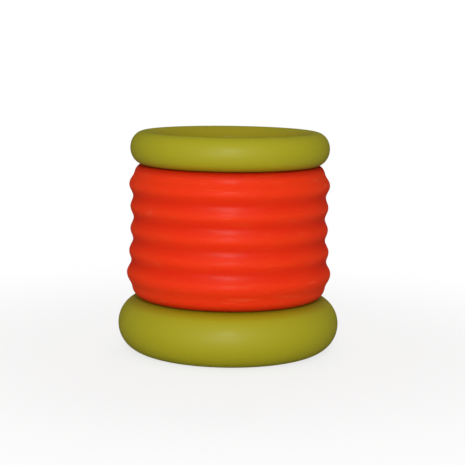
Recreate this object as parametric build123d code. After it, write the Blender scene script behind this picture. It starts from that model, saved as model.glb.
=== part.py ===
from build123d import *
import os
from math import cos, radians, sin, sqrt

# Stack of three loose rings on one upright axis: a thick smooth ring at the bottom, a tall ribbed
# sleeve in the middle and a thin smooth ring on top. Each is one solid body of revolution.
# Millimetres, +Z up, origin on the axis, in the plane that the stack stands on.

# Where the rings rest on each other: a circle through the middle of every ring's wall
seat_radius = 42.5
seat_face_width = 1.0  # radial width of the narrow flat face at the top and bottom of each ring
seat_gap = 0.1  # clear height between one ring's flat face and the next

# Lower ring, oval in section
lower_width = 25.3
lower_height = 26.8

# Upper ring, oval in section
upper_width = 13.8
upper_height = 16.2

# Sleeve: the wall reaches from the seat circle out to the rib crests and in to a straight bore
sleeve_wall_in = 7.5
sleeve_wall_out = 6.7  # out to the crest line where the sleeve is slimmest
rib_count = 5
rib_pitch = 10.9
rib_depth = 1.55  # radial, crest to valley
rib_fullness = 0.4  # share of a half rib over which its curve stays near upright
lower_end_length = 12.2  # lower end face up to the lowest crest
upper_end_length = 10.2  # highest crest up to the upper end face
waist_above_lowest_rib = 26.9
waist_curve_radius = 207.0  # the crest line is hollow, with this radius at the waist

# Sleeve ends: each outer crest slopes in to a shoulder, and the shoulder rounds over to the flat
shoulder_drop = 2.6  # radial, crest to shoulder
lower_shoulder_length = 7.3  # lowest crest down to the shoulder
lower_shoulder_lean = 9.5  # degrees from upright
upper_shoulder_length = 6.3  # highest crest up to the shoulder
upper_shoulder_lean = 14.0
slope_fullness = 0.45
rounding_fullness = 0.55

# Heights that follow from the sizes above
sleeve_height = lower_end_length + (rib_count - 1) * rib_pitch + upper_end_length
sleeve_base = lower_height + seat_gap
upper_base = sleeve_base + sleeve_height + seat_gap

# The section plane: first coordinate outward from the axis, second coordinate up
section_plane = Plane.XZ


def turned(section):
    """A section revolved once about the upright axis."""
    return revolve(section_plane * section, Axis.Z)


def smooth_ring(width, height, base):
    """Ring of oval section over the seat circle, cut off to a narrow flat at top and bottom."""
    cut_off = sqrt(1 - (seat_face_width / width) ** 2)
    oval = Ellipse(width / 2, height / 2 / cut_off) & Rectangle(2 * width, height)
    return turned(Pos(seat_radius, base + height / 2) * oval)


def crest_radius(height):
    """Radius of the line through the rib crests, at a height above the sleeve's lower end."""
    above_waist = height - lower_end_length - waist_above_lowest_rib
    return seat_radius + sleeve_wall_out + above_waist**2 / (2 * waist_curve_radius)


def rib_curves():
    """Half ribs from the lowest crest to the highest, each an S that is upright at both ends."""
    half_pitch = rib_pitch / 2
    points = []
    for step in range(2 * rib_count - 1):
        height = lower_end_length + step * half_pitch
        depth = rib_depth if step % 2 else 0.0
        points.append(Vector(crest_radius(height) - depth, height))
    upright = Vector(0, rib_fullness * half_pitch)
    return [Bezier(a, a + upright, b - upright, b) for a, b in zip(points, points[1:])]


def end_curves(crest_height, end_height, shoulder_length, lean):
    """Slope from an outermost crest to its shoulder, and the rounding on to the flat end face."""
    up = 1 if end_height > crest_height else -1
    crest = Vector(crest_radius(crest_height), crest_height)
    shoulder = crest + Vector(-shoulder_drop, up * shoulder_length)
    flat_edge = Vector(seat_radius + seat_face_width / 2, end_height)
    upright = Vector(0, up * slope_fullness * shoulder_length)
    leaning = Vector(-sin(radians(lean)), up * cos(radians(lean)))
    slope_handle = leaning * (slope_fullness * shoulder_length)
    round_handle = leaning * (rounding_fullness * abs(end_height - shoulder.Y))
    flat_handle = Vector(rounding_fullness * (shoulder.X - flat_edge.X), 0)
    slope = Bezier(crest, crest + upright, shoulder - slope_handle, shoulder)
    rounding = Bezier(shoulder, shoulder + round_handle, flat_edge + flat_handle, flat_edge)
    return [slope, rounding]


def ribbed_sleeve():
    """Sleeve with ribs round the outside, a straight bore and fully rounded inner edges."""
    bore_radius = seat_radius - sleeve_wall_in
    flat_inner = seat_radius - seat_face_width / 2
    flat_outer = seat_radius + seat_face_width / 2
    edge_radius = flat_inner - bore_radius
    lowest_crest = lower_end_length
    highest_crest = sleeve_height - upper_end_length
    outline = [
        *end_curves(lowest_crest, 0.0, lower_shoulder_length, lower_shoulder_lean),
        *rib_curves(),
        *end_curves(highest_crest, sleeve_height, upper_shoulder_length, upper_shoulder_lean),
        Line((flat_outer, sleeve_height), (flat_inner, sleeve_height)),
        CenterArc((flat_inner, sleeve_height - edge_radius), edge_radius, 90, 90),
        Line((bore_radius, sleeve_height - edge_radius), (bore_radius, edge_radius)),
        CenterArc((flat_inner, edge_radius), edge_radius, 180, 90),
        Line((flat_inner, 0), (flat_outer, 0)),
    ]
    return turned(Pos(0, sleeve_base) * make_face(outline))


parts = {
    "lower_ring": smooth_ring(lower_width, lower_height, 0.0),
    "ribbed_sleeve": ribbed_sleeve(),
    "upper_ring": smooth_ring(upper_width, upper_height, upper_base),
}

os.makedirs("parts", exist_ok=True)
for node, solid in parts.items():
    export_step(solid, f"parts/{node}.step")
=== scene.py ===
from math import cos, pi, radians, sin

import bpy
from mathutils import Matrix, Vector


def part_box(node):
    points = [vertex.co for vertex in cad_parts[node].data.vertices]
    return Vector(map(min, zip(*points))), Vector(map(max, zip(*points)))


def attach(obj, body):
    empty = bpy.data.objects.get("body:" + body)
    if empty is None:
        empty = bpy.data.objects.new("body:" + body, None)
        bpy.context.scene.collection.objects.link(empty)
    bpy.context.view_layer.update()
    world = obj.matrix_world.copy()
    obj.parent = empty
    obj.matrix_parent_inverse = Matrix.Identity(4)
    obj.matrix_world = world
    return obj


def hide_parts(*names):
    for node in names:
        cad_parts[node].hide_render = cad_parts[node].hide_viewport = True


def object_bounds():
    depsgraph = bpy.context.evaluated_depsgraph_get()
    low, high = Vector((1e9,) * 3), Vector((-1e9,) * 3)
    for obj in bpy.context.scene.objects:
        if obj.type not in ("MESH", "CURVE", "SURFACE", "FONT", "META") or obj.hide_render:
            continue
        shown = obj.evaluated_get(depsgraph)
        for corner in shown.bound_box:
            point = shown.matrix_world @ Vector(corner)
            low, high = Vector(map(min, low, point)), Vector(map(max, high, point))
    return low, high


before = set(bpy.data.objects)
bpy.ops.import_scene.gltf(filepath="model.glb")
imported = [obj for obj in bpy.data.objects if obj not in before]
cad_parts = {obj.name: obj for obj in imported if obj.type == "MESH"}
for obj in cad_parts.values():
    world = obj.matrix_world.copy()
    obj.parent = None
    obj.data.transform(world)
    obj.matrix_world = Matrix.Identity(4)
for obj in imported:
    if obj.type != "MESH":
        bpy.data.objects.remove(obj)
cad_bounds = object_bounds()


# The place where the toy stands: a large matt white board, lit by the studio round it.
# Away from the toy it fades into plain white, so it has no edge or horizon.
table_radius = 12.0
table_seen = (0.92, 0.92, 0.915, 1.0)
table_in_light = (0.62, 0.62, 0.615, 1.0)  # what it throws back on to the toy
table_in_sheen = 0.04
fade_start = 0.06  # distance from the axis of the toy
fade_end = 0.30
fade_least = 0.75

bpy.ops.mesh.primitive_circle_add(vertices=96, radius=table_radius, fill_type="NGON")
table_top = bpy.context.object
table_top.name = "table_top"
table_paint = bpy.data.materials.new("table_white")
table_paint.use_nodes = True
board = table_paint.node_tree
matt_board = board.nodes["Principled BSDF"]
matt_board.inputs["Roughness"].default_value = 0.9
matt_board.inputs["Specular IOR Level"].default_value = 0.1
rays = board.nodes.new("ShaderNodeLightPath")
tone = board.nodes.new("ShaderNodeMix")
tone.data_type = "RGBA"
tone_from, tone_to = [socket for socket in tone.inputs if socket.type == "RGBA"]
tone_from.default_value = table_in_light
tone_to.default_value = table_seen
place = board.nodes.new("ShaderNodeTexCoord")
reach = board.nodes.new("ShaderNodeVectorMath")
reach.operation = "LENGTH"
fade = board.nodes.new("ShaderNodeMapRange")
fade.interpolation_type = "SMOOTHERSTEP"
fade.inputs["From Min"].default_value = fade_start
fade.inputs["From Max"].default_value = fade_end
fade.inputs["To Min"].default_value = fade_least
shown = board.nodes.new("ShaderNodeMath")
shown.operation = "MULTIPLY"
plain_white = board.nodes.new("ShaderNodeEmission")
blend = board.nodes.new("ShaderNodeMixShader")
in_sheen = board.nodes.new("ShaderNodeEmission")
in_sheen.inputs["Strength"].default_value = table_in_sheen
seen_or_sheen = board.nodes.new("ShaderNodeMixShader")
board.links.new(rays.outputs["Is Camera Ray"], tone.inputs["Factor"])
board.links.new(next(socket for socket in tone.outputs if socket.type == "RGBA"),
                matt_board.inputs["Base Color"])
board.links.new(place.outputs["Object"], reach.inputs[0])
board.links.new(reach.outputs["Value"], fade.inputs["Value"])
board.links.new(fade.outputs["Result"], shown.inputs[0])
board.links.new(rays.outputs["Is Camera Ray"], shown.inputs[1])
board.links.new(shown.outputs[0], blend.inputs[0])
board.links.new(matt_board.outputs[0], blend.inputs[1])
board.links.new(plain_white.outputs[0], blend.inputs[2])
board.links.new(rays.outputs["Is Glossy Ray"], seen_or_sheen.inputs[0])
board.links.new(blend.outputs[0], seen_or_sheen.inputs[1])
board.links.new(in_sheen.outputs[0], seen_or_sheen.inputs[2])
board.links.new(seen_or_sheen.outputs[0], board.nodes["Material Output"].inputs["Surface"])
table_top.data.materials.append(table_paint)


# The studio: an even white surround, a wide soft panel by the camera with its lower part hidden by
# the table, a smaller soft lamp above it, and a weak panel behind that fills the back and leaves no
# sheen. The surround shows white, lights the toy evenly and is weak in its sheen.
surround_light = 0.52
surround_in_sheen = 0.015
lamps = {
    "soft_lamp": {"place": Vector((0.0, -1.81, 1.02)), "size": 0.42, "watts": 12.0, "sheen": True},
    "front_panel": {"place": Vector((-0.15, -1.90, 0.12)), "size": 1.0, "watts": 16.0, "sheen": True},
    "back_panel": {"place": Vector((0.40, 1.90, 0.60)), "size": 1.0, "watts": 9.0, "sheen": False},
}

world = bpy.data.worlds.new("studio")
bpy.context.scene.world = world
world.use_nodes = True
air = world.node_tree
air.nodes.clear()
rays = air.nodes.new("ShaderNodeLightPath")
seen, light, sheen = [air.nodes.new("ShaderNodeBackground") for use in range(3)]
seen.inputs["Color"].default_value = (1.0, 1.0, 1.0, 1.0)
light.inputs["Color"].default_value = (1.0, 1.0, 1.0, 1.0)
sheen.inputs["Color"].default_value = (1.0, 1.0, 1.0, 1.0)
light.inputs["Strength"].default_value = surround_light
sheen.inputs["Strength"].default_value = surround_in_sheen
light_or_sheen = air.nodes.new("ShaderNodeMixShader")
any_of_them = air.nodes.new("ShaderNodeMixShader")
sky = air.nodes.new("ShaderNodeOutputWorld")
air.links.new(rays.outputs["Is Glossy Ray"], light_or_sheen.inputs[0])
air.links.new(light.outputs[0], light_or_sheen.inputs[1])
air.links.new(sheen.outputs[0], light_or_sheen.inputs[2])
air.links.new(rays.outputs["Is Camera Ray"], any_of_them.inputs[0])
air.links.new(light_or_sheen.outputs[0], any_of_them.inputs[1])
air.links.new(seen.outputs[0], any_of_them.inputs[2])
air.links.new(any_of_them.outputs[0], sky.inputs["Surface"])

middle_of_toy = (cad_bounds[0] + cad_bounds[1]) / 2
for name, lamp in lamps.items():
    lamp_data = bpy.data.lights.new(name, "AREA")
    lamp_data.shape = "DISK"
    lamp_data.size = lamp["size"]
    lamp_data.energy = lamp["watts"]
    lamp_object = bpy.data.objects.new(name, lamp_data)
    lamp_object.location = lamp["place"]
    lamp_object.visible_glossy = lamp["sheen"]
    lamp_object.rotation_euler = (middle_of_toy - lamp["place"]).to_track_quat("-Z", "Y").to_euler()
    bpy.context.scene.collection.objects.link(lamp_object)
bpy.context.scene.view_settings.view_transform = "Standard"


# The camera: an arm's length away, a little above the top of the toy and looking slightly down,
# held a shade out of level and with the toy a shade left of centre.
camera_distance = 0.6821
camera_height = 0.1555
camera_lens = 106.64
camera_down = radians(8.083)
camera_right = radians(0.142)
camera_lean = radians(0.724)

camera_data = bpy.data.cameras.new("camera")
camera_data.sensor_width = 36.0
camera_data.lens = camera_lens
camera_data.clip_start = 0.01
camera_data.clip_end = 100.0
camera = bpy.data.objects.new("camera", camera_data)
camera.matrix_world = (
    Matrix.Translation((0.0, -camera_distance, camera_height))
    @ Matrix.Rotation(-camera_right, 4, "Z")
    @ Matrix.Rotation(pi / 2 - camera_down, 4, "X")
    @ Matrix.Rotation(camera_lean, 4, "Z")
)
bpy.context.scene.collection.objects.link(camera)
bpy.context.scene.camera = camera


# Lower ring: one thick, smooth ring of oval section in satin olive plastic, moulded in one piece.
# It stands loose on a narrow flat round its underside.
wall_radius = 0.0425
flat_width = 0.001
steps_round_ring = 256


class Number:
    """A number inside a node tree, so that the sums behind a shape or a finish read as sums."""

    def __init__(self, tree, socket):
        self.tree, self.socket = tree, socket

    def with_step(self, operation, *others):
        inputs = dict(enumerate((self, *others)))
        return Number(self.tree, step(self.tree, "ShaderNodeMath", inputs, operation=operation))

    def __add__(self, other):
        return self.with_step("ADD", other)

    def __sub__(self, other):
        return self.with_step("SUBTRACT", other)

    def __mul__(self, other):
        return self.with_step("MULTIPLY", other)

    def __truediv__(self, other):
        return self.with_step("DIVIDE", other)

    def __neg__(self):
        return self * -1.0


def feed(tree, socket, value):
    """Gives a socket a plain value, or the output of another node."""
    value = value.socket if isinstance(value, Number) else value
    if isinstance(value, bpy.types.NodeSocket):
        tree.links.new(value, socket)
    else:
        socket.default_value = value


def step(tree, kind, inputs, output=0, **settings):
    """Adds one node with its settings and inputs, and returns one of its outputs."""
    node = tree.nodes.new(kind)
    for name, value in settings.items():
        setattr(node, name, value)
    for name, value in inputs.items():
        feed(tree, node.inputs[name], value)
    return node.outputs[output]


def new_tree(name, sizes, finish=True):
    """A Geometry Nodes tree with these numbers as named inputs. Returns it and the inputs."""
    tree = bpy.data.node_groups.new(name, "GeometryNodeTree")
    for size in sizes:
        tree.interface.new_socket(name=size, in_out="INPUT", socket_type="NodeSocketFloat")
    if finish:
        tree.interface.new_socket(name="Finish", in_out="INPUT", socket_type="NodeSocketMaterial")
    tree.interface.new_socket(name="Shape", in_out="OUTPUT", socket_type="NodeSocketGeometry")
    sockets = tree.nodes.new("NodeGroupInput").outputs
    return tree, {size: Number(tree, sockets[size]) for size in sizes}


def give_shape(tree, shape):
    """Makes a shape the tree's result."""
    feed(tree, tree.nodes.new("NodeGroupOutput").inputs["Shape"], shape)


def point(tree, outward, height):
    """A point of a section, from its distance outside the wall's middle and its height.
    Curve to Mesh turns the second coordinate of a section downwards, so the height is negated."""
    down = -height if isinstance(height, Number) else -1.0 * height
    return step(tree, "ShaderNodeCombineXYZ", {"X": outward, "Y": down})


def turned(tree, section, radius, steps):
    """The skin that a section sweeps in one turn about the upright axis."""
    path = step(tree, "GeometryNodeCurvePrimitiveCircle", {"Resolution": steps, "Radius": radius})
    level = step(tree, "GeometryNodeSetCurveNormal", {"Curve": path}, mode="Z_UP")
    return step(tree, "GeometryNodeCurveToMesh", {"Curve": level, "Profile Curve": section})


def finish_shape(tree, skin, base):
    """Lifts a ring to its place in the stack, smooths its shading and gives it its material."""
    rise = step(tree, "ShaderNodeCombineXYZ", {"Z": base})
    placed = step(tree, "GeometryNodeTransform", {"Geometry": skin, "Translation": rise})
    smooth = step(tree, "GeometryNodeSetShadeSmooth", {"Geometry": placed})
    real = step(tree, "GeometryNodeRealizeInstances", {"Geometry": smooth})
    material = next(n for n in tree.nodes if n.bl_idname == "NodeGroupInput").outputs["Finish"]
    give_shape(tree, step(tree, "GeometryNodeSetMaterial", {"Geometry": real, "Material": material}))


def made_piece(name, tree, sizes):
    """Runs a tree with these sizes and returns the result as a plain mesh object."""
    piece = bpy.data.objects.new(name, bpy.data.meshes.new(name + "_host"))
    bpy.context.scene.collection.objects.link(piece)
    shaping = piece.modifiers.new("shaping", "NODES")
    shaping.node_group = tree
    for socket in tree.interface.items_tree:
        if socket.in_out == "INPUT":
            shaping[socket.identifier] = sizes[socket.name]
    evaluated = piece.evaluated_get(bpy.context.evaluated_depsgraph_get())
    mesh = bpy.data.meshes.new_from_object(evaluated)
    mesh.name = name
    piece.modifiers.remove(shaping)
    piece.data = mesh
    return piece


oval_ring, size = new_tree(
    "oval_ring", ["Wall radius", "Wall width", "Height", "Flat width", "Base", "Steps round ring",
                  "Steps round wall"])
flat_share = size["Flat width"] / size["Wall width"]
cut_off = (flat_share * flat_share * -1.0 + 1.0).with_step("SQRT")
half_height = size["Height"] * 0.5
oval_size = step(oval_ring, "ShaderNodeCombineXYZ", {
    "X": size["Wall width"] * 0.5, "Y": half_height / cut_off, "Z": 1.0})
wall = step(oval_ring, "GeometryNodeCurvePrimitiveCircle", {
    "Resolution": size["Steps round wall"], "Radius": 1.0})
oval = step(oval_ring, "GeometryNodeTransform", {"Geometry": wall, "Scale": oval_size})
corner = step(oval_ring, "GeometryNodeInputPosition", {})
outward = Number(oval_ring, step(oval_ring, "ShaderNodeSeparateXYZ", {"Vector": corner}, "X"))
upward = Number(oval_ring, step(oval_ring, "ShaderNodeSeparateXYZ", {"Vector": corner}, "Y"))
level = upward.with_step("MINIMUM", half_height).with_step("MAXIMUM", -half_height)
section = step(oval_ring, "GeometryNodeSetPosition", {
    "Geometry": oval, "Position": point(oval_ring, outward, -level)})
skin = turned(oval_ring, section, size["Wall radius"], size["Steps round ring"])
finish_shape(oval_ring, skin, size["Base"] + half_height)


def mixed_tone(tree, factor, tone_a, tone_b):
    """A colour between two, by a factor from 0 to 1."""
    mix = tree.nodes.new("ShaderNodeMix")
    mix.data_type = "RGBA"
    feed(tree, mix.inputs["Factor"], factor)
    for socket, tone in zip([s for s in mix.inputs if s.type == "RGBA"], (tone_a, tone_b)):
        feed(tree, socket, tone)
    return next(s for s in mix.outputs if s.type == "RGBA")


cloud_scale = 38.0
grain_scale = 1400.0
grain_in_roughness = 0.1
grain_height = 0.00003
grain_strength = 0.25
joint_heights = [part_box("ribbed_sleeve")[0].z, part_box("ribbed_sleeve")[1].z]
# Painted shade near the joints: the colour darkens within this reach of each height where two rings
# touch, by this share.
painted_shade_reach = 0.0035
joint_painted_shade = 0.65
# Painted shade round the inside: the colour darkens from the middle of the wall inwards, by this
# share, and the inside is also rougher.
inside_reach = 0.004
inside_painted_shade = 0.35
inside_dullness = 0.3
shine = 0.07
shine_roughness = 0.26
glow_reach = 0.008
glow_of_colours = (1.0, 0.15, 0.05)  # red light travels furthest under the skin


def close_to_joints(tree, place):
    """Rises from 0 to 1 towards the heights where two rings touch."""
    height = Number(tree, step(tree, "ShaderNodeSeparateXYZ", {"Vector": place}, "Z"))
    away = [(height - joint).with_step("ABSOLUTE") for joint in joint_heights]
    nearest = away[0].with_step("MINIMUM", away[1]) / painted_shade_reach
    return -nearest.with_step("MINIMUM", 1.0) + 1.0


def towards_inside(tree, place):
    """Rises from 0 at the middle of the wall to 1 a little way in, and stays 1 round the inside."""
    level = step(tree, "ShaderNodeVectorMath", {0: place, 1: (1.0, 1.0, 0.0)}, operation="MULTIPLY")
    from_axis = Number(tree, step(
        tree, "ShaderNodeVectorMath", {0: level}, "Value", operation="LENGTH"))
    inwards = (-from_axis + wall_radius) / inside_reach
    return inwards.with_step("MAXIMUM", 0.0).with_step("MINIMUM", 1.0)


def satin_plastic(name, tone_a, tone_b, painted_shade_tone, roughness, gloss, glow, crests_and_wear=None):
    """Satin plastic, coloured right through: faint clouds of tone, a fine, even grain and a thin
    shine. Its colour is darkened with painted shade close to where two rings touch and round the
    inside, and the inside is also duller. A last, optional function changes the tone and roughness of
    the crests and adds marks."""
    finish = bpy.data.materials.new(name)
    finish.use_nodes = True
    tree = finish.node_tree
    shader = tree.nodes["Principled BSDF"]
    place = step(tree, "ShaderNodeTexCoord", {}, "Object")
    clouds = step(tree, "ShaderNodeTexNoise", {
        "Vector": place, "Scale": cloud_scale, "Detail": 3.0, "Roughness": 0.55})
    grain = step(tree, "ShaderNodeTexNoise", {
        "Vector": place, "Scale": grain_scale, "Detail": 2.0, "Roughness": 0.5})
    colour = mixed_tone(tree, clouds, tone_a, tone_b)
    rough = Number(tree, grain) * grain_in_roughness + (roughness - grain_in_roughness / 2)
    if crests_and_wear:
        colour, rough = crests_and_wear(tree, place, colour, rough)
    inside = towards_inside(tree, place)
    # Painted shade: the colour is pulled towards the shade tone near the joints and round the inside.
    painted_shade = (close_to_joints(tree, place) * joint_painted_shade).with_step("MAXIMUM", inside * inside_painted_shade)
    feed(tree, shader.inputs["Base Color"], mixed_tone(tree, painted_shade, colour, painted_shade_tone))
    feed(tree, shader.inputs["Roughness"], rough + inside * inside_dullness)
    feed(tree, shader.inputs["Normal"], step(tree, "ShaderNodeBump", {
        "Strength": grain_strength, "Distance": grain_height, "Height": grain}))
    shader.inputs["Specular IOR Level"].default_value = gloss
    shader.inputs["Coat Weight"].default_value = shine
    shader.inputs["Coat Roughness"].default_value = shine_roughness
    shader.inputs["Subsurface Weight"].default_value = glow
    shader.inputs["Subsurface Radius"].default_value = glow_of_colours
    shader.inputs["Subsurface Scale"].default_value = glow_reach
    return finish


# The third tone is the painted shade near the joints and round the inside.
olive_plastic = satin_plastic(
    "olive_plastic", tone_a=(0.394, 0.358, 0.003, 1.0), tone_b=(0.372, 0.338, 0.001, 1.0),
    painted_shade_tone=(0.24, 0.16, 0.001, 1.0), roughness=0.56, gloss=0.38, glow=0.0)

lower_low, lower_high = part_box("lower_ring")
lower_ring = made_piece("lower_ring_skin", oval_ring, {
    "Wall radius": wall_radius,
    "Wall width": 2 * (lower_high.x - wall_radius),
    "Height": lower_high.z - lower_low.z,
    "Flat width": flat_width,
    "Base": lower_low.z,
    "Steps round ring": steps_round_ring,
    "Steps round wall": 96,
    "Finish": olive_plastic,
})
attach(lower_ring, "lower_ring")
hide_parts("lower_ring")


# Ribbed sleeve: one tall ring with five rounded ribs, a little slimmer at mid height, in satin
# orange-red plastic. It is moulded in one piece and rests loose on the lower ring.
rib_count = 5
rib_pitch = 0.0109
rib_depth = 0.00155
wall_in = 0.0075
wall_out = 0.0067
lower_end_length = 0.0122
waist_above_lowest_rib = 0.0269
waist_curve_radius = 0.207
shoulder_drop = 0.0026
lower_shoulder_length = 0.0073
lower_shoulder_lean = radians(9.5)
upper_shoulder_length = 0.0063
upper_shoulder_lean = radians(14.0)
slope_fullness = 0.45
rounding_fullness = 0.55
join_distance = 0.000002


def marked(tree, shape, exposed):
    """Notes on a section how far its points stand out, from 0 to 1."""
    return step(tree, "GeometryNodeStoreNamedAttribute", {
        "Geometry": shape, "Name": "exposed", "Value": exposed})


sleeve_end, size = new_tree(
    "sleeve_end", ["Crest outward", "Crest height", "End height", "Flat edge outward",
                   "Shoulder drop", "Shoulder length", "Lean", "Steps"], finish=False)
up = (size["End height"] - size["Crest height"]).with_step("SIGN")
shoulder_out = size["Crest outward"] - size["Shoulder drop"]
shoulder_height = size["Crest height"] + up * size["Shoulder length"]
lean_in = size["Lean"].with_step("SINE")
lean_up = up * size["Lean"].with_step("COSINE")
slope_reach = size["Shoulder length"] * slope_fullness
round_reach = (size["End height"] - shoulder_height).with_step("ABSOLUTE") * rounding_fullness
flat_reach = (shoulder_out - size["Flat edge outward"]) * rounding_fullness
slope = step(sleeve_end, "GeometryNodeCurvePrimitiveBezierSegment", {
    "Resolution": size["Steps"],
    "Start": point(sleeve_end, size["Crest outward"], size["Crest height"]),
    "Start Handle": point(sleeve_end, size["Crest outward"], size["Crest height"] + up * slope_reach),
    "End Handle": point(sleeve_end, shoulder_out + lean_in * slope_reach,
                        shoulder_height - lean_up * slope_reach),
    "End": point(sleeve_end, shoulder_out, shoulder_height),
})
rounding = step(sleeve_end, "GeometryNodeCurvePrimitiveBezierSegment", {
    "Resolution": size["Steps"],
    "Start": point(sleeve_end, shoulder_out, shoulder_height),
    "Start Handle": point(sleeve_end, shoulder_out - lean_in * round_reach,
                          shoulder_height + lean_up * round_reach),
    "End Handle": point(sleeve_end, size["Flat edge outward"] + flat_reach, size["End height"]),
    "End": point(sleeve_end, size["Flat edge outward"], size["End height"]),
})
towards_flat = Number(sleeve_end, step(sleeve_end, "GeometryNodeSplineParameter", {}, "Factor"))
both = sleeve_end.nodes.new("GeometryNodeJoinGeometry")
sleeve_end.links.new(marked(sleeve_end, slope, 1.0), both.inputs[0])
sleeve_end.links.new(marked(sleeve_end, rounding, -towards_flat + 1.0), both.inputs[0])
give_shape(sleeve_end, both.outputs[0])

ribbed_ring, size = new_tree(
    "ribbed_ring", ["Wall radius", "Wall in", "Wall out", "Height", "Flat width", "Base",
                    "Lowest crest", "Rib count", "Rib pitch", "Rib depth", "Waist above lowest rib",
                    "Waist curve radius", "Shoulder drop", "Lower shoulder length",
                    "Lower shoulder lean", "Upper shoulder length", "Upper shoulder lean",
                    "Steps round ring", "Steps per rib", "Steps round edge"])


def crest_outward(height):
    """Distance of the crest line outside the wall's middle, at a height above the lower end."""
    above_waist = height - size["Lowest crest"] - size["Waist above lowest rib"]
    return above_waist * above_waist * 0.5 / size["Waist curve radius"] + size["Wall out"]


rib_span = (size["Rib count"] - 1.0) * size["Rib pitch"]
highest_crest = size["Lowest crest"] + rib_span
straight = step(ribbed_ring, "GeometryNodeCurvePrimitiveLine", {})
fine = step(ribbed_ring, "GeometryNodeResampleCurve", {
    "Curve": straight, "Count": (size["Rib count"] - 1.0) * size["Steps per rib"] + 1.0})
along = Number(ribbed_ring, step(ribbed_ring, "GeometryNodeSplineParameter", {}, "Factor"))
above_lowest = rib_span - along * rib_span
height = above_lowest + size["Lowest crest"]
wave = (above_lowest / size["Rib pitch"] * (2 * pi)).with_step("COSINE")
rib_out = crest_outward(height) - (wave * -0.5 + 0.5) * size["Rib depth"]
rib_section = step(ribbed_ring, "GeometryNodeSetPosition", {
    "Geometry": marked(ribbed_ring, fine, wave * 0.5 + 0.5),
    "Position": point(ribbed_ring, rib_out, height)})

flat_edge = size["Flat width"] * 0.5
ends = []
for end_height, crest, length, lean in (
        (size["Height"] * 0.0, size["Lowest crest"], "Lower shoulder length", "Lower shoulder lean"),
        (size["Height"], highest_crest, "Upper shoulder length", "Upper shoulder lean")):
    end = ribbed_ring.nodes.new("GeometryNodeGroup")
    end.node_tree = sleeve_end
    for name, value in {
            "Crest outward": crest_outward(crest), "Crest height": crest,
            "End height": end_height, "Flat edge outward": flat_edge,
            "Shoulder drop": size["Shoulder drop"], "Shoulder length": size[length],
            "Lean": size[lean], "Steps": size["Steps round edge"]}.items():
        feed(ribbed_ring, end.inputs[name], value)
    ends.append(end.outputs["Shape"])
upper_end = step(ribbed_ring, "GeometryNodeReverseCurve", {"Curve": ends[1]})

bore = -size["Wall in"]
inside = step(ribbed_ring, "GeometryNodeCurvePrimitiveQuadrilateral", {
    "Point 1": point(ribbed_ring, flat_edge, 0.0),
    "Point 2": point(ribbed_ring, bore, 0.0),
    "Point 3": point(ribbed_ring, bore, size["Height"]),
    "Point 4": point(ribbed_ring, flat_edge, size["Height"]),
}, mode="POINTS")
inside_open = step(ribbed_ring, "GeometryNodeSetSplineCyclic", {"Geometry": inside, "Cyclic": False})
inside_round = step(ribbed_ring, "GeometryNodeFilletCurve", {
    "Curve": inside_open, "Radius": size["Wall in"] - flat_edge,
    "Count": size["Steps round edge"]}, mode="POLY")

skins = ribbed_ring.nodes.new("GeometryNodeJoinGeometry")
for part in (rib_section, ends[0], upper_end, inside_round):
    turned_part = turned(ribbed_ring, part, size["Wall radius"], size["Steps round ring"])
    ribbed_ring.links.new(turned_part, skins.inputs[0])
closed = step(ribbed_ring, "GeometryNodeMergeByDistance", {
    "Geometry": skins.outputs[0], "Distance": join_distance})
finish_shape(ribbed_ring, closed, size["Base"])

red_roughness = 0.44
worn_roughness = 0.66
# The crests are a little lighter in tone than the valleys.
crest_tone = (0.84, 0.034, 0.0, 1.0)
scuffed_tone = (0.86, 0.16, 0.06, 1.0)
scuff_shape = (70.0, 70.0, 420.0)  # streaks per metre: short across a rib, long round it
scuff_faintest, scuff_clearest = 0.60, 0.78
scuff_depth = 0.35
nicks = [
    {"angle": radians(-36.0), "height": 0.0832, "size": 0.0010, "depth": 0.6},
    {"angle": radians(-49.5), "height": 0.0722, "size": 0.0018, "depth": 0.4},
    {"angle": radians(-52.5), "height": 0.0715, "size": 0.0018, "depth": 0.3},
    {"angle": radians(-46.0), "height": 0.0490, "size": 0.0010, "depth": 0.4},
    {"angle": radians(-44.7), "height": 0.0482, "size": 0.0010, "depth": 0.5},
    {"angle": radians(-43.4), "height": 0.0478, "size": 0.0010, "depth": 0.5},
    {"angle": radians(-42.1), "height": 0.0480, "size": 0.0010, "depth": 0.4},
]


def bruise(tree, place, nick):
    """A small round mark on the sleeve, deepest in its middle. Its angle is from the front."""
    spot = Vector((sin(nick["angle"]), -cos(nick["angle"]), 0.0)) * (wall_radius + wall_out)
    spot.z = nick["height"]
    away = Number(tree, step(
        tree, "ShaderNodeVectorMath", {0: place, 1: spot}, "Value", operation="DISTANCE"))
    return (-(away / nick["size"]) + 1.0).with_step("MAXIMUM", 0.0) * nick["depth"]


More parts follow.
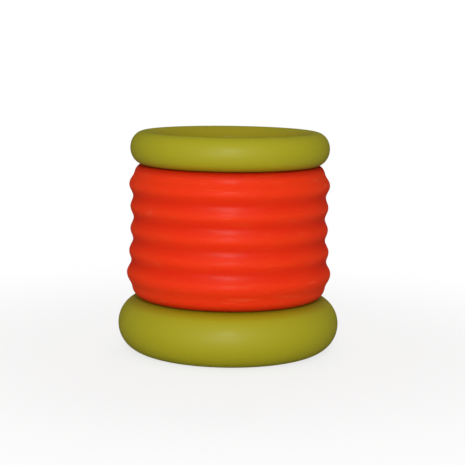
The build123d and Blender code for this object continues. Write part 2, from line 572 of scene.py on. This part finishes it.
def lighter_crests_and_scuffs(tree, place, colour, rough):
    """Crests lighter in tone and duller, with short scuffs along them, and the nicks."""
    crest_share = Number(tree, step(tree, "ShaderNodeAttribute", {}, "Fac", attribute_name="exposed"))
    colour = mixed_tone(tree, crest_share, colour, crest_tone)
    rough = rough + crest_share * (worn_roughness - red_roughness)
    along_rib = step(tree, "ShaderNodeVectorMath", {0: place, 1: scuff_shape}, operation="MULTIPLY")
    streaks = step(tree, "ShaderNodeTexNoise", {
        "Vector": along_rib, "Scale": 1.0, "Detail": 3.0, "Roughness": 0.6})
    scuffs = step(tree, "ShaderNodeMapRange", {
        "Value": streaks, "From Min": scuff_faintest, "From Max": scuff_clearest})
    marks = Number(tree, scuffs) * crest_share * scuff_depth
    for nick in nicks:
        marks = marks.with_step("MAXIMUM", bruise(tree, place, nick))
    return mixed_tone(tree, marks, colour, scuffed_tone), rough


# The third tone is the painted shade near the joints and round the inside.
red_plastic = satin_plastic(
    "red_plastic", tone_a=(0.81, 0.024, 0.0, 1.0), tone_b=(0.78, 0.021, 0.0, 1.0),
    painted_shade_tone=(0.36, 0.006, 0.0, 1.0), roughness=red_roughness, gloss=0.17, glow=0.6, crests_and_wear=lighter_crests_and_scuffs)

sleeve_low, sleeve_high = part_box("ribbed_sleeve")
ribbed_sleeve = made_piece("ribbed_sleeve_skin", ribbed_ring, {
    "Wall radius": wall_radius,
    "Wall in": wall_in,
    "Wall out": wall_out,
    "Height": sleeve_high.z - sleeve_low.z,
    "Flat width": flat_width,
    "Base": sleeve_low.z,
    "Lowest crest": lower_end_length,
    "Rib count": rib_count,
    "Rib pitch": rib_pitch,
    "Rib depth": rib_depth,
    "Waist above lowest rib": waist_above_lowest_rib,
    "Waist curve radius": waist_curve_radius,
    "Shoulder drop": shoulder_drop,
    "Lower shoulder length": lower_shoulder_length,
    "Lower shoulder lean": lower_shoulder_lean,
    "Upper shoulder length": upper_shoulder_length,
    "Upper shoulder lean": upper_shoulder_lean,
    "Steps round ring": steps_round_ring,
    "Steps per rib": 24,
    "Steps round edge": 14,
    "Finish": red_plastic,
})
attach(ribbed_sleeve, "ribbed_sleeve")
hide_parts("ribbed_sleeve")


# Upper ring: a thinner ring of the same oval kind and the same olive plastic. It rests loose on
# the top of the sleeve.
upper_low, upper_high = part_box("upper_ring")
upper_ring = made_piece("upper_ring_skin", oval_ring, {
    "Wall radius": wall_radius,
    "Wall width": 2 * (upper_high.x - wall_radius),
    "Height": upper_high.z - upper_low.z,
    "Flat width": flat_width,
    "Base": upper_low.z,
    "Steps round ring": steps_round_ring,
    "Steps round wall": 72,
    "Finish": olive_plastic,
})
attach(upper_ring, "upper_ring")
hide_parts("upper_ring")
